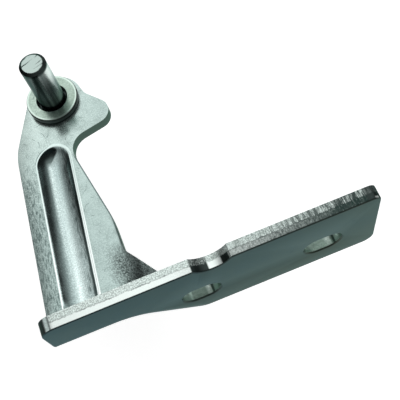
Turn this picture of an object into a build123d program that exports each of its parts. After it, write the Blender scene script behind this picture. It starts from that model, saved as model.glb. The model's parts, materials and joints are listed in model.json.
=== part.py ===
from build123d import *
from math import asin, atan2, cos, degrees, dist, radians, sin, tan
import os

# Fridge door hinge: a bracket blanked and folded from one thick steel sheet, with a riveted pivot
# pin on which the door turns and a loose washer that carries the door.
# Millimetres. The pin's axis is +Z and z = 0 is the arm's pin side. The flange runs along X, and
# its mounting face looks towards -Y.

# Steel sheet
sheet_t = 4.0
fold_r = 2.0  # inside radius where the arm turns up into the flange
crease_r = 12.5  # radius under the crease between the arm and its gusset
die_roll_r = 0.5  # rounded rim that the blanking die leaves on the mounting side

# Flange, measured from the pin's axis and from the arm's pin side
pivot_to_face = 74.0
flange_left = 21.0
flange_right = 72.1
flange_rise = 14.6
flange_drop = 15.4
left_corner_r = 4.5
right_top_r = 2.5
right_low_r = 3.5

# Shallow scallop in the flange's upper edge
scallop_x = 25.7
scallop_w = 10.6
scallop_depth = 2.8

# Fixing slots in the flange
slot_x = 20.7
slot_pitch = 35.5
slot_z = -3.2
slot_l = 11.2
slot_w = 8.5
slot_edge = 0.4  # broken edge at the slots' mouths

# Pivot pin: a plain shaft on a spigot that is riveted over under the arm
pin_d = 8.0
pin_l = 20.4
pin_chamfer = 0.95
pin_chamfer_h = 0.65
spigot_d = 6.0
spigot_play = 0.04
rivet_d = 10.0
rivet_h = 1.6

# Washer
washer_d = 16.0
washer_t = 2.0
washer_play = 1.2
washer_edge = 0.3

# Arm, seen from the pin side: what is near the pin is placed from its axis, what is near the flange
# by its gap to the mounting face
eye_margin = 0.6  # metal outside the washer, round the pin
eye_shift = 0.5  # the round end is centred a little to the right of the pin
shoulder_in = 5.2  # the left edge leans in by this up to its shoulder
shoulder_y = -13.7
shoulder_r = 20.0
foot_straight = 8.0  # square foot beside the fold, before the left edge leans in
foot_r = 12.0
nose_x = 10.7  # door stop: a round nose on the right of the pin
nose_y = -8.8
nose_r = 4.3
nose_root_gap = 0.7  # corner between the eye and the nose, outside the eye's circle
nose_root_angle = -7.4
nose_root_r = 3.0
neck_x = -0.4
neck_y = -15.4
neck_r = 5.8
waist_x = 5.0
waist_gap = 30.3
waist_r = 40.0

# Gusset: the arm's right foot, pressed down on a slant to meet the flange's lower edge
gusset_angle = 41.0
gusset_x = 0.8  # crease, at the mounting face
gusset_lean = 9.0  # crease against the Y axis, in degrees
gusset_start_gap = 19.6
gusset_start_r = 3.0
gusset_lip = 0.3  # the gusset ends this far above the flange's lower edge
gusset_fade_gap = 50.0  # beyond this the arm is flat

# Pressed rib: a round-ended trough in the arm, with an equal ridge below
rib_far = (-6.05, -20.1)
rib_near_x = -10.5
rib_near_gap = 12.1
rib_w = 9.9
rib_depth = 3.0
rib_wall = 0.3  # the ridge's foot outside the trough's rim
rib_lip_r = 1.4

face_y = -pivot_to_face
inner_y = face_y + sheet_t
shoulder_x = shoulder_in - flange_left
waist_y = face_y + waist_gap
gusset_start_y = face_y + gusset_start_gap
gusset_end_x = gusset_x + (flange_drop - gusset_lip) / tan(radians(gusset_angle))
gusset_fade_y = face_y + gusset_fade_gap
rib_near = (rib_near_x, face_y + rib_near_gap)
eye_r = washer_d / 2 + eye_margin
beyond = 2 * pivot_to_face  # a length that passes every edge of the bracket


def tangent_angle(start, centre, radius, side):
    """Angle of the line from start that touches a circle on its left (side 1) or right (side -1)."""
    towards = degrees(atan2(centre[1] - start[1], centre[0] - start[0]))
    return towards + side * degrees(asin(radius / dist(start, centre)))


def crossing(p, angle_p, q, angle_q):
    """Point where the line through p at angle_p crosses the line through q at angle_q."""
    up, uq = radians(angle_p), radians(angle_q)
    along = ((q[0] - p[0]) * sin(uq) - (q[1] - p[1]) * cos(uq)) / sin(uq - up)
    return (p[0] + along * cos(up), p[1] + along * sin(up))


def rounded(*corners):
    """Closed face through corners given as (point, corner radius), where radius 0 stays sharp."""
    points = [point for point, _ in corners]
    sketch = Sketch() + make_face(Polyline(*points, close=True))
    for point, radius in corners:
        if radius:
            corner = sketch.vertices().sort_by_distance((*point, 0))[0]
            sketch = fillet(corner, radius)
    return sketch


def arm_plan():
    """The arm's outline with its eye round the pin, door-stop nose, neck and spreading foot."""
    eye, nose = (eye_shift, 0), (nose_x, nose_y)
    shoulder, neck = (shoulder_x, shoulder_y), (neck_x, neck_y)
    root_d, root_a = eye_r + nose_root_gap, radians(nose_root_angle)
    root = (eye_shift + root_d * cos(root_a), root_d * sin(root_a))
    eye_top = crossing(
        shoulder, tangent_angle(shoulder, eye, eye_r, 1), root, tangent_angle(root, eye, eye_r, -1)
    )
    nose_tip = crossing(
        root, tangent_angle(root, nose, nose_r, 1), neck, tangent_angle(neck, nose, nose_r, -1)
    )
    return rounded(
        ((-flange_left, face_y), 0),
        ((-flange_left, face_y + foot_straight), foot_r),
        (shoulder, shoulder_r),
        (eye_top, eye_r),
        (root, nose_root_r),
        (nose_tip, nose_r),
        (neck, neck_r),
        ((waist_x, waist_y), waist_r),
        ((waist_x, gusset_start_y), gusset_start_r),
        ((gusset_end_x, inner_y), 0),
        ((gusset_end_x, face_y), 0),
    )


def behind(y):
    """All space behind a plane across Y."""
    return Pos(0, y + beyond / 2, 0) * Box(beyond, beyond, beyond)


def below(z):
    """All space under a level."""
    return Pos(0, 0, z - beyond / 2) * Box(beyond, beyond, beyond)


def arm_sheet():
    """The arm as a sheet that is flat round the pin and creased downwards at the gusset."""
    plan = arm_plan()
    slope = radians(gusset_angle)
    crease = gusset_x - sheet_t * tan(slope / 2)
    left, right = -flange_left - sheet_t, gusset_end_x + sheet_t
    fall = (right - gusset_x) * tan(slope)
    section = rounded(
        ((left, 0), 0),
        ((gusset_x, 0), crease_r + sheet_t),
        ((right, -fall), 0),
        ((right - sheet_t * sin(slope), -fall - sheet_t * cos(slope)), 0),
        ((crease, -sheet_t), crease_r),
        ((left, -sheet_t), 0),
    )
    lean = radians(gusset_lean)
    creased_l = gusset_fade_y - face_y
    creased = extrude(
        Plane(origin=(0, face_y, 0), x_dir=(1, 0, 0), z_dir=(0, -1, 0)) * section,
        amount=creased_l / cos(lean),
        dir=(sin(lean), cos(lean), 0),
    )
    creased &= extrude(plan, amount=beyond, both=True)
    flat = extrude(plan, amount=-sheet_t) & behind(gusset_fade_y)
    return creased + flat


def flange_plate():
    """The upright flange, ending below in the middle of the arm's sheet."""
    slope = radians(gusset_angle)
    half = sheet_t / 2
    low_x = gusset_x + (flange_drop - half / cos(slope)) / tan(slope)
    outline = rounded(
        ((-flange_left, -half), 0),
        ((-flange_left, flange_rise), left_corner_r),
        ((flange_right, flange_rise), right_top_r),
        ((flange_right, -flange_drop), right_low_r),
        ((low_x, -flange_drop), 0),
        ((gusset_x - half * tan(slope / 2), -half), 0),
    )
    scallop_r = arc_radius(scallop_w, scallop_depth)
    outline -= Pos(scallop_x, flange_rise + scallop_r - scallop_depth) * Circle(scallop_r)
    for i in range(2):
        outline -= Pos(slot_x + i * slot_pitch, slot_z) * SlotOverall(slot_l, slot_w)
    mounting_face = Plane(origin=(0, face_y, 0), x_dir=(1, 0, 0), z_dir=(0, -1, 0))
    return extrude(mounting_face * outline, amount=-sheet_t)


def arc_radius(chord, rise):
    """Radius of the arc with a chord and a rise."""
    return (chord**2 / 4 + rise**2) / (2 * rise)


def capsule(radius, height):
    """A round-ended bar along the rib's axis at a height over the arm."""
    far, near = Vector(*rib_far, height), Vector(*rib_near, height)
    bar = Plane(origin=near, z_dir=far - near) * Cylinder(
        radius, (far - near).length, align=(Align.CENTER, Align.CENTER, Align.MIN)
    )
    return bar + Pos(far) * Sphere(radius) + Pos(near) * Sphere(radius)


def plane_face(solid, axis, value):
    """The largest flat face that lies across an axis at a value."""
    flat = solid.faces().filter_by(axis).filter_by_position(axis, value - 0.01, value + 0.01)
    return flat.sort_by(SortBy.AREA)[-1]


def fold_edges(sheet, y, top):
    """The edges at y along which the arm and its gusset meet the flange, none above top."""
    edges = []
    for edge in plane_face(sheet, Axis.Y, y).outer_wire().edges():
        high = edge.bounding_box().max
        upright = abs((edge % 0.5).X) < 0.1
        if high.Z < top + 0.01 and high.X < gusset_end_x + 0.01 and not upright:
            edges.append(edge)
    return edges


def fold(sheet):
    """Round the fold inside and outside, so the sheet keeps its thickness."""
    sheet = fillet(fold_edges(sheet, inner_y, 0), fold_r)
    return fillet(fold_edges(sheet, face_y, -sheet_t), fold_r + sheet_t)


def press_rib(sheet):
    """Press the trough into the arm: a ridge is added below and the round-ended hollow is cut."""
    ridge_low = sheet_t + rib_depth
    ridge_r = arc_radius(rib_w + 2 * rib_wall, rib_depth)
    trough_r = arc_radius(rib_w, rib_depth)
    sheet += capsule(ridge_r, ridge_r - ridge_low) & below(-sheet_t)
    sheet -= capsule(trough_r, trough_r - rib_depth)
    lip = plane_face(sheet, Axis.Z, 0).inner_wires()[0]
    return fillet(lip.edges(), rib_lip_r)


def break_edges(sheet):
    """Break the slots' mouths, and round the sheared rim on the mounting side as the die leaves it."""
    slots = plane_face(sheet, Axis.Y, face_y).inner_wires()
    sheet = chamfer([edge for slot in slots for edge in slot.edges()], slot_edge)
    rim = []
    for edge in plane_face(sheet, Axis.Y, face_y).outer_wire().edges():
        middle = edge @ 0.5
        if middle.Z > fold_r or middle.X > gusset_end_x:
            rim.append(edge)
    return fillet(rim, die_roll_r)


def bracket():
    """The folded bracket, rounded at its fold, pressed with the rib and drilled for the pin."""
    sheet = arm_sheet() + flange_plate() - below(-flange_drop)
    sheet = press_rib(fold(sheet)) - Cylinder((spigot_d + spigot_play) / 2, 4 * sheet_t)
    return break_edges(sheet)


def hinge_pin():
    """Shaft with a chamfered tip, standing on its shoulder, with the spigot riveted under the arm."""
    shaft_r, spigot_r = pin_d / 2, spigot_d / 2
    rivet_z = -sheet_t - rivet_h
    with BuildPart() as pin:
        with BuildSketch(Plane.XZ):
            with BuildLine():
                Polyline(
                    (0, rivet_z),
                    (0, pin_l),
                    (shaft_r - pin_chamfer, pin_l),
                    (shaft_r, pin_l - pin_chamfer_h),
                    (shaft_r, 0),
                    (spigot_r, 0),
                    (spigot_r, -sheet_t),
                    (rivet_d / 2, -sheet_t),
                )
                RadiusArc((rivet_d / 2, -sheet_t), (0, rivet_z), arc_radius(rivet_d, rivet_h))
            make_face()
        revolve(axis=Axis.Z)
    return pin.part


def washer():
    """Thick washer that lies on the arm round the pin, with its rims broken."""
    ring = Cylinder(washer_d / 2, washer_t, align=(Align.CENTER, Align.CENTER, Align.MIN))
    ring -= Cylinder((pin_d + washer_play) / 2, 4 * washer_t)
    return chamfer(ring.edges().filter_by(GeomType.CIRCLE), washer_edge)


os.makedirs("parts", exist_ok=True)
for make in (bracket, hinge_pin, washer):
    export_step(make(), f"parts/{make.__name__}.step")
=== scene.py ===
import json
from math import radians, tan

import bpy
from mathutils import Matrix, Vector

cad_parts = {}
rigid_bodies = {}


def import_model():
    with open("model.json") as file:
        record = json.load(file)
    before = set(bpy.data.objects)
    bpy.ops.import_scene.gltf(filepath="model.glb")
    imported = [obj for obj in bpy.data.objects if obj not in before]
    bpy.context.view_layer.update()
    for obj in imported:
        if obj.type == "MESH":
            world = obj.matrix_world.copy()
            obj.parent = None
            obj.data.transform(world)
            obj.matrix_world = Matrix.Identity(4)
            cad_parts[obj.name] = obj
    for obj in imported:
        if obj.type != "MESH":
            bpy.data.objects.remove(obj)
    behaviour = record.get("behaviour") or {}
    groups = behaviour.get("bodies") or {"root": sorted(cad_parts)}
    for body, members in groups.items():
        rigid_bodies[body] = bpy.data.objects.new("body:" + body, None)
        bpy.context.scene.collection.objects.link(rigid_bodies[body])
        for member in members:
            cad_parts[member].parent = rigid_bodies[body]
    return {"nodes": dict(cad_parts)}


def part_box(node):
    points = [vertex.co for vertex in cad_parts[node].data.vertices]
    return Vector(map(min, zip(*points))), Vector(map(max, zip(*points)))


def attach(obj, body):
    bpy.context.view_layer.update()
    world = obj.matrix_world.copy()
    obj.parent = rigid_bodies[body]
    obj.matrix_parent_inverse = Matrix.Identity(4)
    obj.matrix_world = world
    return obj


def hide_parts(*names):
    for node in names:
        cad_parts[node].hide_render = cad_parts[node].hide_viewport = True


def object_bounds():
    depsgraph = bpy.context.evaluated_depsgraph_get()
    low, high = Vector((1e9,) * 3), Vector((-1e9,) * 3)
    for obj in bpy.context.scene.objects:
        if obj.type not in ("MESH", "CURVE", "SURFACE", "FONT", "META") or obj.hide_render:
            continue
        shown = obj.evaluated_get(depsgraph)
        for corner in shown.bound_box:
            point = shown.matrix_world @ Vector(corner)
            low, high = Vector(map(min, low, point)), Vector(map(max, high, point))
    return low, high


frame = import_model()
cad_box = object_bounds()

# Bracket sheet
# One piece of thick steel sheet, blanked in a die, pressed with the rib and the gusset, folded up into
# the flange and then zinc plated. Its edges stay as the die sheared them: a smooth burnished band next
# to the mounting side and a torn band next to the pin side.
mm = 0.001
sheet_t = 4 * mm
sheet_low, sheet_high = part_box("bracket")
left_x = sheet_low.x
right_x = sheet_high.x
face_y = sheet_low.y
inner_y = face_y + sheet_t


def node(tree, kind, values=None, **settings):
    """A shader node of a kind, with its settings, and its inputs set or linked."""
    made = tree.nodes.new("ShaderNode" + kind)
    for name, value in settings.items():
        setattr(made, name, value)
    for name, value in (values or {}).items():
        if isinstance(value, bpy.types.NodeSocket):
            tree.links.new(value, made.inputs[name])
        else:
            made.inputs[name].default_value = value
    return made


def share(tree, value, none, whole, to=(0, 1), ease="LINEAR"):
    """How far a value is on its way from none to whole, as a number between the ends given in to."""
    ends = {"From Min": none, "From Max": whole, "To Min": to[0], "To Max": to[1]}
    return node(tree, "MapRange", {"Value": value, **ends}, interpolation_type=ease).outputs["Result"]


def noise(tree, place, size, detail, turn=0, roughness=0.6):
    """Noise with patches of a size along X, Y and Z in millimetres, turned about Z by some degrees."""
    mapping = {"Vector": place, "Rotation": (0, 0, radians(turn)), "Scale": [side * mm for side in size]}
    stretched = node(tree, "Mapping", mapping, vector_type="TEXTURE").outputs["Vector"]
    values = {"Vector": stretched, "Scale": 1, "Detail": detail, "Roughness": roughness}
    return node(tree, "TexNoise", values).outputs["Fac"]


# Zinc crystals: fine flecks, broad clouds from the plating bath, and the relief of the flecks.
fleck_levels = 0.62, 0.44
cloud_levels = 0.36, 0.66
cloud_size = (4.8, 4.8, 4.8)
crystal_height = 0.05 * mm
crystals = bpy.data.node_groups.new("zinc crystals", "ShaderNodeTree")
for name in ("Fineness", "Relief"):
    crystals.interface.new_socket(name, in_out="INPUT", socket_type="NodeSocketFloat")
for name, kind in (("Fleck", "Float"), ("Cloud", "Float"), ("Normal", "Vector")):
    crystals.interface.new_socket(name, in_out="OUTPUT", socket_type="NodeSocket" + kind)
asked = crystals.nodes.new("NodeGroupInput").outputs
given = crystals.nodes.new("NodeGroupOutput").inputs
place = node(crystals, "TexCoord").outputs["Object"]
grains = {"Vector": place, "Scale": asked["Fineness"], "Detail": 3, "Roughness": 0.65}
fine = node(crystals, "TexNoise", grains).outputs["Fac"]
broad = noise(crystals, place, cloud_size, detail=4)
bumps = {"Height": fine, "Strength": asked["Relief"], "Distance": crystal_height}
crystals.links.new(share(crystals, fine, *fleck_levels), given["Fleck"])
crystals.links.new(share(crystals, broad, *cloud_levels), given["Cloud"])
crystals.links.new(node(crystals, "Bump", bumps).outputs["Normal"], given["Normal"])


def plate(tree, shader, fineness, relief):
    """Zinc crystals on a material: sets its normal and gives the flecks and the clouds."""
    grain = node(tree, "Group", node_tree=crystals)
    grain.inputs["Fineness"].default_value = fineness
    grain.inputs["Relief"].default_value = relief
    tree.links.new(grain.outputs["Normal"], shader.inputs["Normal"])
    return grain.outputs["Fleck"], grain.outputs["Cloud"]


def finish(name, metal, rough):
    """A material with its tree, its shader and its object coordinates, whole and apart."""
    material = bpy.data.materials.new(name)
    material.use_nodes = True
    tree = material.node_tree
    shader = tree.nodes["Principled BSDF"]
    shader.inputs["Metallic"].default_value = metal
    shader.inputs["Roughness"].default_value = rough
    place = node(tree, "TexCoord").outputs["Object"]
    return material, tree, shader, place, node(tree, "SeparateXYZ", {"Vector": place}).outputs


def calc(tree, operation, *values):
    """The result of one calculation."""
    return node(tree, "Math", dict(enumerate(values)), operation=operation).outputs["Value"]


def blend(tree, part, first, second):
    """One colour going over to another as part goes from 0 to 1."""
    return node(tree, "Mix", {0: part, 6: first, 7: second}, data_type="RGBA").outputs[2]


def both(tree, first, *others):
    """Several masks, or a mask and its strength, multiplied together."""
    for other in others:
        first = calc(tree, "MULTIPLY", first, other)
    return first


def between(tree, value, start, stop):
    """A mask between two fades, each a pair of the places where it is none and where it is whole."""
    return both(tree, share(tree, value, *start), share(tree, value, *stop))


def patches(tree, place, size, detail, cover, turn=0, strength=1):
    """Patches of noise: cover gives the levels of noise at which they start and are whole."""
    return share(tree, noise(tree, place, size, detail, turn), *cover, to=(0, strength))


# Pin side of the arm: bright zinc, with painted light making it brightest round the eye, dull strokes along
# the left edge, a few hairlines, and a painted dark line along the right edge for its sheared wall in shade.
zinc_in_light = (0.57, 0.69, 0.655, 1)
zinc_light = (0.43, 0.54, 0.515, 1)
zinc_dark = (0.085, 0.125, 0.12, 1)
arm_turn = -6  # degrees by which the rib and the arm's left edge lean
eye_along = -40 * mm, -12 * mm
eye_across = 15 * mm, -8 * mm
strip_along = -14 * mm, -26 * mm
strip_across = -9 * mm, -14 * mm
stroke_wear = 0.6
fleck_wear = 0.3
noise_middle = 0.5
hair_width = 0.008, 0.003
waist_x = 5 * mm
waist_start = -3.34 * mm
waist_lean = 5.4 / 28.3  # the arm's right edge, from its neck to its waist
edge_shade_across = -0.5 * mm, -0.25 * mm
edge_shade_start = -19.5 * mm, -21.5 * mm
edge_shade_stop = -54 * mm, -52 * mm
bright_zinc, tree, shader, place, (x, y, z) = finish("bright zinc on the pin side", metal=1, rough=0.25)
fleck, cloud = plate(tree, shader, fineness=2400, relief=0.25)
# Painted light: the zinc is brighter round the eye.
eye_light = both(tree, share(tree, y, *eye_along), share(tree, x, *eye_across, to=(0.2, 1)))
flat = blend(tree, eye_light, zinc_light, zinc_in_light)
flat = blend(tree, both(tree, fleck, share(tree, cloud, 0, 1, to=(0.1, 0.4))), flat, zinc_dark)
left_strip = both(tree, share(tree, x, *strip_across), share(tree, y, *strip_along))
stroke = patches(tree, place, size=(0.45, 2.4, 2.4), detail=3, cover=(0.46, 0.6), turn=arm_turn)
worn = calc(tree, "MULTIPLY_ADD", stroke, stroke_wear, both(tree, fleck, fleck_wear))
flat = blend(tree, both(tree, left_strip, worn), flat, zinc_dark)
vein = noise(tree, place, size=(8.3, 8.3, 8.3), detail=1)
off_vein = calc(tree, "ABSOLUTE", calc(tree, "SUBTRACT", vein, noise_middle))
broken = patches(tree, place, size=(2.4, 2.4, 2.4), detail=1, cover=(0.5, 0.58))
hairline = both(tree, share(tree, off_vein, *hair_width, to=(0, 0.5)), broken)
flat = blend(tree, hairline, flat, zinc_dark)
# A painted dark line just inside the arm's right edge, standing for its sheared wall seen in shade.
edge_x = calc(tree, "MINIMUM", calc(tree, "MULTIPLY_ADD", y, -waist_lean, waist_start), waist_x)
from_edge = calc(tree, "SUBTRACT", x, edge_x)
edge_shade_line = share(tree, from_edge, *edge_shade_across, to=(0, 0.9))
edge_shade_line = both(tree, edge_shade_line, between(tree, y, edge_shade_start, edge_shade_stop))
flat = blend(tree, edge_shade_line, flat, zinc_dark)


def either(tree, first, *others):
    """The strongest of several masks."""
    for other in others:
        first = calc(tree, "MAXIMUM", first, other)
    return first


def ramp(tree, part, stops):
    """A colour that goes through stops, each a place between 0 and 1 and a colour."""
    made = node(tree, "ValToRGB", {"Fac": part})
    marks = made.color_ramp.elements
    for mark, (at, colour) in zip(marks, (stops[0], stops[-1])):
        mark.position = at
        mark.color = colour
    for at, colour in stops[1:-1]:
        marks.new(at).color = colour
    return made.outputs["Color"]


# Rib: its tones are painted light and shade, standing for what its curved walls mirror, so they run along
# it, and they go over from those at the far end to those next to the flange. Its round end has painted
# shade on the left and is painted grey on the right.
rib_lean = 4.45 / 41.8  # the rib runs to the left on its way to the flange
rib_middle = 3.91 * mm
rib_end_y = -20.1 * mm
rib_run = -24 * mm, -60 * mm
rib_reach = 6  # millimetres off the rib's middle that its tones go
far_painted_tones = (
    (-4.6, 0.50), (-3.9, 0.24), (-2.7, 0.17), (-1.8, 0.90), (-0.4, 0.62), (1.2, 0.48), (2.5, 0.50),
    (3.6, 0.70), (4.1, 0.35), (4.3, 0.10), (4.7, 0.08), (5.0, 0.60), (5.6, 0.66),
)
near_painted_tones = (
    (-4.9, 0.90), (-4.6, 0.34), (-3.6, 0.32), (-2.6, 0.45), (-1.4, 0.68), (-0.4, 1.0), (0.4, 1.0),
    (1.3, 0.95), (2.6, 0.80), (3.9, 0.80), (4.2, 0.14), (4.8, 0.05), (5.1, 0.95),
)
end_shade = (0.10, 0.13, 0.125, 1)
end_grey = (0.36, 0.44, 0.43, 1)
end_along = -20.5 * mm, -18.3 * mm
end_slant = -1.9 * mm, -2.7 * mm
steep_along = -23 * mm, -18.3 * mm
steep_across = 0.6 * mm, 2 * mm
drag_across = 0.6 * mm, 2.8 * mm
rib_below = -0.03 * mm, -0.12 * mm
rib_side = 6 * mm, 5.7 * mm
across = calc(tree, "ADD", calc(tree, "MULTIPLY_ADD", y, -rib_lean, x), rib_middle)
off_middle = calc(tree, "ABSOLUTE", across)
past_end = calc(tree, "MAXIMUM", calc(tree, "SUBTRACT", y, rib_end_y), 0)
off_axis = calc(tree, "ADD", both(tree, across, across), both(tree, past_end, past_end))
off_axis = calc(tree, "SQRT", off_axis)


def rib_painted_light(tree, tones):
    """The rib's painted light and shade across it, from pairs of a place in millimetres off its middle and a
    tone.
    """
    stops = []
    for at, tone in tones:
        red = (0.72 + 0.1 * tone) * tone
        stops.append((at / (2 * rib_reach) + 0.5, (red, 0.97 * tone, 0.95 * tone, 1)))
    return ramp(tree, share(tree, across, -rib_reach * mm, rib_reach * mm), stops)


rib_tone = blend(tree, share(tree, y, *rib_run), rib_painted_light(tree, far_painted_tones), rib_painted_light(tree, near_painted_tones))
round_end = share(tree, y, *end_along)
slant = calc(tree, "SUBTRACT", across, past_end)
end_left = both(tree, round_end, share(tree, slant, *end_slant))
end_right = both(tree, round_end, share(tree, slant, *reversed(end_slant)))
steep_side = both(tree, share(tree, y, *steep_along), share(tree, across, *steep_across))
end_right = either(tree, end_right, steep_side)
rib_tone = blend(tree, end_left, rib_tone, end_shade)
rib_tone = blend(tree, end_right, rib_tone, end_grey)
rib_fleck = both(tree, fleck, share(tree, off_middle, 0, 3 * mm, to=(0.25, 0.5)))
drag = patches(tree, place, size=(0.4, 2.6, 2.6), detail=3, cover=(0.46, 0.58), turn=arm_turn)
drag = both(tree, drag, share(tree, across, *drag_across, to=(0, 0.8)))
rib_tone = blend(tree, either(tree, rib_fleck, drag), rib_tone, zinc_dark)
in_rib = both(tree, share(tree, z, *rib_below), share(tree, off_middle, *rib_side))

# Gusset: painted shade, mottled by the crystals, where the sheet bends down from the arm, and painted lighter
# on the slope.
bend_dark = (0.05, 0.066, 0.063, 1)
bend_light = (0.24, 0.30, 0.285, 1)
slope_dark = (0.14, 0.18, 0.17, 1)
slope_light = (0.50, 0.62, 0.60, 1)
bend_across = -0.8 * mm, 3.6 * mm
bend_along = -51 * mm, -57 * mm
bend_ragged = 1.4 * mm
slope_across = 3.4 * mm, 6.6 * mm
arm_top = 0.9 * mm, 0.3 * mm
fold_foot = inner_y + 0.3 * mm, inner_y + 1 * mm
uneven = calc(tree, "MULTIPLY_ADD", calc(tree, "SUBTRACT", fleck, cloud), bend_ragged, x)
on_arm = share(tree, z, *arm_top)
in_bend = both(tree, share(tree, uneven, *bend_across), share(tree, y, *bend_along))
in_bend = both(tree, in_bend, on_arm, share(tree, y, *fold_foot))
on_slope = share(tree, x, *slope_across)
bend_light_and_shade = blend(tree, on_slope, bend_light, slope_light)
bend_light_and_shade = blend(tree, fleck, bend_light_and_shade, blend(tree, on_slope, bend_dark, slope_dark))
tone = blend(tree, in_rib, blend(tree, in_bend, flat, bend_light_and_shade), rib_tone)

# Lips of the rib: a painted highlight along each lip, brighter towards the flange.
lip_highlight_pale = (0.66, 0.79, 0.76, 1)
lip_highlight_white = (0.92, 1, 0.98, 1)
lip_inside = 4.95 * mm, 5.15 * mm
lip_outside = 5.5 * mm, 6 * mm  # on the left and on the right
lip_fade = 0.25 * mm
lip_run = -22 * mm, -50 * mm
lip_rim = share(tree, across, -1 * mm, 1 * mm, to=lip_outside)
lip_highlight = share(tree, calc(tree, "SUBTRACT", lip_rim, off_axis), 0, lip_fade)
lip_highlight = both(tree, lip_highlight, share(tree, off_axis, *lip_inside), on_arm)
tone = blend(tree, lip_highlight, tone, blend(tree, share(tree, y, *lip_run), lip_highlight_pale, lip_highlight_white))


def from_axis(tree, place):
    """How far a place is from the pin's axis."""
    level_place = node(tree, "VectorMath", {0: place, 1: (1, 1, 0)}, operation="MULTIPLY").outputs[0]
    return node(tree, "VectorMath", {0: level_place}, operation="LENGTH").outputs["Value"]


# Foot of the washer: dark, because little light gets under its rim.
gap_dark = (0.030, 0.040, 0.038, 1)
washer_foot = 7.9 * mm, 7.4 * mm
tone = blend(tree, share(tree, from_axis(tree, place), *washer_foot), tone, gap_dark)
tree.links.new(tone, shader.inputs["Base Color"])
tree.links.new(share(tree, cloud, 0, 1, to=(0.19, 0.3)), shader.inputs["Roughness"])


def ease_upright(tree, shader, part):
    """Turns the grained normal towards straight up, by a part between 0 and 1."""
    grained = shader.inputs["Normal"].links[0].from_socket
    eased = node(tree, "Mix", {0: part, 4: grained, 5: (0, 0, 1)}, data_type="VECTOR").outputs[1]
    upright = node(tree, "VectorMath", {0: eased}, operation="NORMALIZE").outputs[0]
    tree.links.new(upright, shader.inputs["Normal"])


# Floor of the rib: it flattens out towards the flange, and the lips lie level.
floor_right = -0.6 * mm, 2.4 * mm
floor_left = -2 * mm, -4 * mm
floor_run = -19 * mm, -52 * mm
end_level = 0.5
right_floor = share(tree, across, *floor_right, to=(0, 0.72))
left_floor = share(tree, across, *floor_left, to=(0, 0.28))
flatter = both(tree, either(tree, right_floor, left_floor), share(tree, y, *floor_run))
flatter = either(tree, flatter, both(tree, end_right, end_level), lip_highlight)
ease_upright(tree, shader, both(tree, flatter, in_rib))

# Mounting side: the same plating, dull, painted dark as shade for the dark surroundings it mirrors, with a
# few specks. It goes from bluish to greenish towards the right and downwards.
face_shade_teal = (0.036, 0.057, 0.063, 1)
face_shade_olive = (0.060, 0.073, 0.058, 1)
face_glance = (0.61, 0.76, 0.76, 1)
torn_dark = (0.030, 0.042, 0.040, 1)
olive_right = 0, 70 * mm
olive_down = 2 * mm, -15 * mm
olive_cloud = 0.2
shaded_zinc, tree, shader, place, (x, y, z) = finish("zinc painted with shade on the mounting side", metal=1, rough=0.4)
_, cloud = plate(tree, shader, fineness=1500, relief=0.08)
shader.inputs["Specular Tint"].default_value = face_glance
olive = calc(tree, "ADD", share(tree, x, *olive_right, to=(0, 0.6)), share(tree, z, *olive_down, to=(0, 0.6)))
olive = calc(tree, "MULTIPLY_ADD", cloud, olive_cloud, olive)
speck = patches(tree, place, size=(2, 2, 2), detail=0, cover=(0.78, 0.82), strength=0.7)
face_tone = blend(tree, speck, blend(tree, olive, face_shade_teal, face_shade_olive), torn_dark)
tree.links.new(face_tone, shader.inputs["Base Color"])

# Sheared edge of the arm: painted dark as shade, with a slightly lighter burnished band along its lower half.
wall_dark = (0.070, 0.108, 0.091, 1)
wall_light = (0.076, 0.112, 0.095, 1)
wall_glance = (0.55, 0.68, 0.62, 1)
wall_band = -2.2 * mm, -2.8 * mm
sheared_arm, tree, shader, place, (x, y, z) = finish("sheared edge of the arm", metal=1, rough=0.4)
fleck, _ = plate(tree, shader, fineness=1800, relief=0.4)
shader.inputs["Specular Tint"].default_value = wall_glance
wall_tone = blend(tree, share(tree, z, *wall_band, ease="SMOOTHSTEP"), wall_dark, wall_light)

# Walls of the two fixing slots: brighter than the arm's edge, and painted with light and shade: the left slot
# dimmer than the right, each darker further in, with lighter round ends, a painted glint and a painted
# shadow line near the right end of each. Places along a slot are measured from its middle.
slot_dim = (0.23, 0.305, 0.265, 1)
slot_bright = (0.41, 0.53, 0.465, 1)
slot_ends = (0.37, 0.50, 0.44, 1)
slot_glint = (0.86, 1, 0.93, 1)
slot_middle = 20.7 * mm
slot_pitch = 35.5 * mm
slots_left, slots_right = 14 * mm, 63 * mm
slots_low, slots_high = -8 * mm, 1.5 * mm
slot_run = -5 * mm, 2.4 * mm
slot_depth = face_y + 1 * mm, face_y + 2.2 * mm
slot_speckle = 0.4
glint_start, glint_stop = (1.2 * mm, 2.2 * mm), (3.2 * mm, 2.9 * mm)
glint_strength = 0.5
left_round, right_round = (-2.6 * mm, -3.2 * mm), (3.4 * mm, 3.8 * mm)
line_start, line_stop = (2.8 * mm, 3.0 * mm), (3.6 * mm, 3.4 * mm)
line_shift = 0.6 * mm  # the right slot's line lies further to the right
right_slot = calc(tree, "GREATER_THAN", x, (slots_left + slots_right) / 2)
along_slot = calc(tree, "SUBTRACT", x, slot_middle)
along_slot = calc(tree, "MULTIPLY_ADD", right_slot, -slot_pitch, along_slot)
slot_tone = blend(tree, right_slot, slot_dim, slot_bright)
lit = share(tree, along_slot, *slot_run, to=(0.9, 1))
lit = both(tree, lit, share(tree, y, *slot_depth, to=(1, 0.4)))
slot_tone = blend(tree, lit, wall_dark, slot_tone)
glint = both(tree, between(tree, along_slot, glint_start, glint_stop), glint_strength)
slot_tone = blend(tree, glint, slot_tone, slot_glint)
slot_tone = blend(tree, both(tree, fleck, slot_speckle), slot_tone, wall_dark)
round_walls = either(tree, share(tree, along_slot, *left_round), share(tree, along_slot, *right_round))
slot_tone = blend(tree, round_walls, slot_tone, slot_ends)
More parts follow.
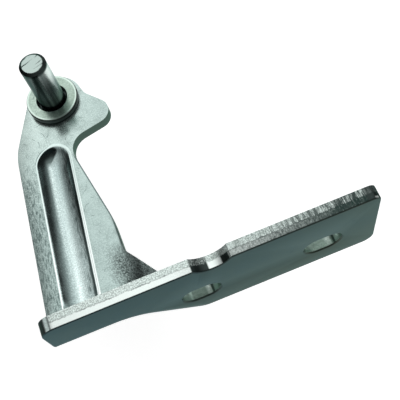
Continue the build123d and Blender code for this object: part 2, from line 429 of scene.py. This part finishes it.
along_line = calc(tree, "MULTIPLY_ADD", right_slot, -line_shift, along_slot)
slot_tone = blend(tree, between(tree, along_line, line_start, line_stop), slot_tone, wall_dark)
in_slots = share(tree, y, inner_y + 0.2 * mm, inner_y)
in_slots = both(tree, in_slots, share(tree, x, slots_left - 1 * mm, slots_left))
tree.links.new(blend(tree, in_slots, wall_tone, slot_tone), shader.inputs["Base Color"])

# Sheared edge of the flange: torn in streaks next to the pin side and burnished next to the mounting
# side, with a seam between them. Both go from bright at the left to dark and rough at the right; the
# bright and the dark are painted light and shade, the roughness is the edge's own.
torn_light = (0.70, 0.80, 0.765, 1)
torn_dim = (0.52, 0.60, 0.57, 1)
torn_in_light = (0.66, 0.76, 0.72, 1)
torn_in_shade = (0.045, 0.062, 0.058, 1)
torn_run = 12 * mm, 60 * mm
torn_flecks = 0.45, 0.9
burnish_in_light = (0.80, 0.88, 0.85, 1)
burnish_in_shade = (0.006, 0.026, 0.020, 1)
burnish_run = 16 * mm, 61 * mm
edge_glance = (0.3, 0.36, 0.34, 1)
streak_turn = 4  # degrees
streak_cover = 0.36, 0.50
streak_thinning = 0.09  # of the noise, towards the right
streak_gleam = 0.05
chip_run = 20 * mm, 42 * mm
dark_chips, dark_strength = (0.5, 0.6), 0.6
light_chips, light_strength = (0.48, 0.38), 0.14
pit_run = 12 * mm, 45 * mm
seam_y = face_y + 2 * mm
seam_ragged = 0.8 * mm
seam_across = seam_y - 0.05 * mm, seam_y + 0.1 * mm
seam_width = 0.22 * mm, 0.1 * mm
sheared_flange, tree, shader, place, (x, y, z) = finish("sheared edge of the flange", metal=0.9, rough=0.35)
fleck, cloud = plate(tree, shader, fineness=2600, relief=0.5)
shader.inputs["Specular Tint"].default_value = edge_glance
rightwards = share(tree, x, *torn_run)
streaks = noise(tree, place, size=(0.55, 5.3, 0.67), detail=3, turn=streak_turn, roughness=0.75)
streak = share(tree, calc(tree, "MULTIPLY_ADD", rightwards, -streak_thinning, streaks), *streak_cover)
torn = blend(tree, rightwards, torn_in_light, torn_in_shade)
torn = blend(tree, streak, torn, blend(tree, rightwards, torn_light, torn_dim))
torn = blend(tree, share(tree, fleck, *torn_flecks, to=(0, 0.5)), torn, torn_dark)
burnish = blend(tree, share(tree, x, *burnish_run), burnish_in_light, burnish_in_shade)
chips = noise(tree, place, size=(0.55, 1.0, 0.7), detail=2, turn=streak_turn)
chipped = share(tree, x, *chip_run)
burnish = blend(tree, both(tree, share(tree, chips, *dark_chips), chipped, dark_strength), burnish, torn_dark)
light_chip = both(tree, share(tree, chips, *light_chips), chipped, light_strength)
burnish = blend(tree, light_chip, burnish, torn_light)
burnish = blend(tree, both(tree, streak, rightwards, streak_gleam), burnish, torn_light)
pitted = both(tree, fleck, share(tree, x, *pit_run, to=(0.06, 0.6)))
burnish = blend(tree, pitted, burnish, torn_dark)
wavy = calc(tree, "MULTIPLY_ADD", calc(tree, "SUBTRACT", streaks, noise_middle), seam_ragged, y)
edge_tone = blend(tree, share(tree, wavy, *seam_across), burnish, torn)
off_seam = calc(tree, "ABSOLUTE", calc(tree, "SUBTRACT", wavy, seam_y))
seam = both(tree, share(tree, off_seam, *seam_width, to=(0, 0.8)), cloud)
edge_tone = blend(tree, seam, edge_tone, torn_dark)

# Scallop and right end of that edge: painted shade on the scallop's two banks and towards the end, a
# painted highlight on the scallop's floor, and a painted glint on the corner.
left_bank_x = (20.2 * mm, 20.6 * mm), (25 * mm, 24.6 * mm)
right_bank_x = (28.3 * mm, 28.6 * mm), (30.7 * mm, 30.4 * mm)
scallop_floor_x = (24.6 * mm, 25 * mm), (28.6 * mm, 28.2 * mm)
right_end_x = right_x - 4.3 * mm, right_x - 3.3 * mm
corner_x = (right_x - 1.8 * mm, right_x - 1.5 * mm), (right_x - 0.7 * mm, right_x - 1 * mm)
corner_y = (face_y + 0.9 * mm, face_y + 0.7 * mm), (face_y + 0.2 * mm, face_y + 0.35 * mm)
burnish_y = seam_y + 0.3 * mm, seam_y
upper_z = 4 * mm, 6 * mm
upper = share(tree, z, *upper_z)
burnished = both(tree, share(tree, wavy, *burnish_y), upper)
left_bank = between(tree, x, *left_bank_x)
right_bank = between(tree, x, *right_bank_x)
dim = both(tree, either(tree, left_bank, right_bank), burnished)
torn_bank = both(tree, left_bank, share(tree, fleck, 0, 1, to=(0.5, 0.85)), upper)
dim = either(tree, dim, share(tree, x, *right_end_x, to=(0, 0.85)), torn_bank)
edge_tone = blend(tree, dim, edge_tone, gap_dark)
corner = both(tree, between(tree, x, *corner_x), between(tree, y, *corner_y))
shine = either(tree, between(tree, x, *scallop_floor_x), corner)
edge_tone = blend(tree, both(tree, shine, burnished), edge_tone, burnish_in_light)

# Left end of that edge: painted shade where it turns down, then a painted light stripe and a dim one before
# the rest.
left_reach = 4  # millimetres from the flange's left end
left_tones = (0.4, 0.06), (1.68, 0.04), (2.24, 0.5), (3.04, 0.6), (3.28, 0.25), (3.6, 0.25)
left_white = (1, 1, 1, 1)
left_speckle = 0.35
left_from = left_x + 3.8 * mm, left_x + 3.6 * mm
stripe_x = (left_x + 1.7 * mm, left_x + 2.4 * mm), (left_x + 3.8 * mm, left_x + 3.5 * mm)
left_stops = [(at / left_reach, (0.84 * tone, tone, 0.97 * tone, 1)) for at, tone in left_tones]
left_stops = [(0, wall_dark), *left_stops, (1, left_white)]
left_tone = ramp(tree, share(tree, x, left_x, left_x + left_reach * mm), left_stops)
left_tone = blend(tree, both(tree, fleck, left_speckle), left_tone, gap_dark)
edge_tone = blend(tree, share(tree, x, *left_from), edge_tone, left_tone)
tree.links.new(edge_tone, shader.inputs["Base Color"])
ease_upright(tree, shader, between(tree, x, *stripe_x))

# The dressed sheet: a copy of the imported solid's mesh, merged, with its sharp edges slightly broken, and
# each face given the finish of its side or edge. A cut face is one that hardly looks along the thickness.
weld_gap = 0.002 * mm
broken_edge = 0.12 * mm
sharp_turn = radians(40)
smooth_turn = radians(28)
fold_y = face_y + 6 * mm
fold_top = 3 * mm
gusset_x = 0.8 * mm
gusset_fall = tan(radians(41))
face_slack = 0.02 * mm
flange_cut = 0.35
arm_cut = 0.25
fold_cut = 0.9
fold_outwards = -0.7
bpy.ops.object.select_all(action="DESELECT")
cad_sheet = frame["nodes"]["bracket"]
cad_sheet.select_set(True)
bpy.context.view_layer.objects.active = cad_sheet
bpy.ops.object.duplicate()
sheet = bpy.context.object
sheet.name = "bracket_sheet"
for label in [key for key in sheet.keys() if key.startswith("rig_")]:
    del sheet[label]
bpy.ops.object.parent_clear(type="CLEAR_KEEP_TRANSFORM")
bpy.ops.object.mode_set(mode="EDIT")
bpy.ops.mesh.select_all(action="SELECT")
bpy.ops.mesh.remove_doubles(threshold=weld_gap)
bpy.ops.mesh.customdata_custom_splitnormals_clear()
bpy.ops.object.mode_set(mode="OBJECT")
broken_edges = sheet.modifiers.new("broken edges", "BEVEL")
broken_edges.width = broken_edge
broken_edges.segments = 2
broken_edges.limit_method = "ANGLE"
broken_edges.angle_limit = sharp_turn
bpy.ops.object.modifier_apply(modifier=broken_edges.name)
bpy.ops.object.shade_smooth_by_angle(angle=smooth_turn)
sheet.data.materials.clear()
for material in (bright_zinc, shaded_zinc, sheared_arm, sheared_flange):
    sheet.data.materials.append(material)
pin_side, mounting_side, arm_edge, flange_edge = range(4)
for face in sheet.data.polygons:
    x, y, z = face.center
    turn = face.normal
    fold_z = fold_top - max(0, x - gusset_x) * gusset_fall
    if y < inner_y + face_slack and z > fold_z:
        in_slot = slots_low < z < slots_high and slots_left < x < slots_right
        cut = abs(turn.y) < flange_cut
        outwards = turn.y < 0
        edge = arm_edge if in_slot else flange_edge
    else:
        cut = abs(turn.z) < arm_cut and (y > fold_y or abs(turn.x) > fold_cut)
        outwards = turn.z < 0 or turn.y < fold_outwards
        edge = arm_edge
    side = mounting_side if outwards else pin_side
    face.material_index = edge if cut else side
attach(sheet, "root")
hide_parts("bracket")

# Pivot pin
# A piece of drawn steel bar, cut off, chamfered and zinc plated, on which the door hangs and turns. It
# stands on its shoulder on the arm, with its spigot riveted over underneath.
pin_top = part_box("hinge_pin")[1].z
pin_light = (0.26, 0.31, 0.30, 1)
pin_dark = (0.05, 0.066, 0.064, 1)
pin_glance = (0.5, 0.6, 0.57, 1)
cut_light = (0.42, 0.51, 0.48, 1)
lit_across = 1.6 * mm, 3.4 * mm
lit_up = 11 * mm, 16 * mm
shaded_across = -1.5 * mm, -3.2 * mm
chamfer_shade_up = pin_top - 1.8 * mm, pin_top - 1.1 * mm
cut_up = pin_top - 0.1 * mm, pin_top - 0.02 * mm
rivet_down = 0, -1 * mm
drawn_zinc, tree, shader, place, (x, y, z) = finish("drawn and plated bar of the pin", metal=1, rough=0.25)
_, cloud = plate(tree, shader, fineness=2200, relief=0.15)
shader.inputs["Specular Tint"].default_value = pin_glance
draw_line = patches(tree, place, size=(2.4, 2.4, 120), detail=3, cover=(0.4, 0.62))
pin_tone = blend(tree, draw_line, pin_dark, pin_light)
# Painted highlight on the right of the shaft near its top, and painted shade down its left side.
lit = both(tree, share(tree, x, *lit_across), share(tree, z, *lit_up))
pin_tone = blend(tree, lit, pin_tone, burnish_in_light)
pin_tone = blend(tree, share(tree, x, *shaded_across), pin_tone, pin_dark)
# Painted shade on the chamfer and in a band just under it.
pin_tone = blend(tree, share(tree, z, *chamfer_shade_up), pin_tone, gap_dark)
score = patches(tree, place, size=(4.5, 0.8, 20), detail=2, cover=(0.58, 0.68), turn=23)
cut_end = blend(tree, score, cut_light, pin_dark)
pin_tone = blend(tree, share(tree, z, *cut_up), pin_tone, cut_end)
riveted = blend(tree, share(tree, cloud, 0, 1, to=(0.3, 0.5)), pin_dark, pin_light)
pin_tone = blend(tree, share(tree, z, *rivet_down), pin_tone, riveted)
tree.links.new(pin_tone, shader.inputs["Base Color"])
pin = frame["nodes"]["hinge_pin"]
pin.material_slots[0].material = drawn_zinc

# Washer
# A thick steel ring stamped from sheet, zinc plated, lying loose round the pin to carry the door. Its
# upper side is bright, with a painted highlight round its rim and a few scratches, and its sheared walls
# are painted dark as shade.
washer_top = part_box("washer")[1].z
washer_light = (0.50, 0.63, 0.55, 1)
washer_dim = (0.36, 0.47, 0.395, 1)
washer_rim_highlight = (0.74, 0.90, 0.82, 1)
washer_speckle = 0.3
rim_highlight_out = 7.1 * mm, 7.5 * mm
top_up = washer_top - 0.2 * mm, washer_top - 0.1 * mm
ring_zinc, tree, shader, place, (x, y, z) = finish("zinc of the washer", metal=1, rough=0.28)
fleck, cloud = plate(tree, shader, fineness=2200, relief=0.2)
upper_side = blend(tree, cloud, washer_light, washer_dim)
upper_side = blend(tree, both(tree, fleck, washer_speckle), upper_side, zinc_dark)
scratch = patches(tree, place, size=(0.6, 5, 20), detail=2, cover=(0.62, 0.7), turn=-35, strength=0.6)
upper_side = blend(tree, scratch, upper_side, zinc_dark)
rim_highlight = share(tree, from_axis(tree, place), *rim_highlight_out, to=(0, 0.7))
upper_side = blend(tree, rim_highlight, upper_side, washer_rim_highlight)
washer_tone = blend(tree, share(tree, z, *top_up), gap_dark, upper_side)
tree.links.new(washer_tone, shader.inputs["Base Color"])
washer = frame["nodes"]["washer"]
washer.material_slots[0].material = ring_zinc

# Floor
# A plain sheet of white studio paper, some way below the hinge, which keeps the place it has on the
# cabinet. It glows a little where the camera or the zinc sees it, so that it shows white.
floor_side = 60
floor_drop = 40 * mm
paper_white = (0.9, 0.9, 0.9, 1)
glow_white = (1, 1, 1, 1)
glow_strength = 0.55
bpy.ops.object.select_all(action="DESELECT")
bpy.ops.mesh.primitive_plane_add(size=floor_side, location=(0, 0, cad_box[0][2] - floor_drop))
floor = bpy.context.object
floor.name = "floor"
paper, tree, shader, _, _ = finish("white paper", metal=0, rough=0.9)
shader.inputs["Base Color"].default_value = paper_white
shader.inputs["Emission Color"].default_value = glow_white
path = node(tree, "LightPath").outputs
seen = either(tree, path["Is Camera Ray"], path["Is Glossy Ray"], path["Is Transmission Ray"])
tree.links.new(both(tree, seen, glow_strength), shader.inputs["Emission Strength"])
floor.data.materials.append(paper)

# Light
# One broad soft light overhead, behind and a little to the right, in a dim studio. Its rims are given on
# the unit direction to it: sideways along X, and upwards along its lean.
light_white = (1, 1, 1, 1)
light_dim, light_full = 0.07, 1.3
light_lean = (0, 0.5, 0.866)
left_rim = -0.85, -0.1
right_rim = 0.85, 0.6
low_rim = 0.3, 0.75
studio = bpy.data.worlds.new("studio")
bpy.context.scene.world = studio
studio.use_nodes = True
tree = studio.node_tree
direction = node(tree, "TexCoord").outputs["Generated"]
sideways = node(tree, "SeparateXYZ", {"Vector": direction}).outputs["X"]
upwards = node(tree, "VectorMath", {0: direction, 1: light_lean}, operation="DOT_PRODUCT").outputs["Value"]
left_fade = share(tree, sideways, *left_rim, ease="SMOOTHSTEP")
right_fade = share(tree, sideways, *right_rim, ease="SMOOTHSTEP")
low_fade = share(tree, upwards, *low_rim, ease="SMOOTHSTEP")
lamp = both(tree, left_fade, right_fade, low_fade)
background = tree.nodes["Background"]
background.inputs["Color"].default_value = light_white
tree.links.new(share(tree, lamp, 0, 1, to=(light_dim, light_full)), background.inputs["Strength"])

# Camera
# Held high in front of the flange and a little to the right of the pin, looking down at the mounting face
# and along the arm. Its place was fitted to the outlines of the pin, the washer and the flange.
camera_place = (22.9 * mm, -137.3 * mm, 191.7 * mm)
camera_turn = (radians(23.63), radians(7.35), radians(-20.77))
bpy.ops.object.camera_add(location=camera_place, rotation=camera_turn)
camera = bpy.context.object
camera.data.lens = 67.5
camera.data.sensor_width = 36
camera.data.clip_start = 0.01
bpy.context.scene.camera = camera
bpy.context.scene.view_settings.view_transform = "Standard"
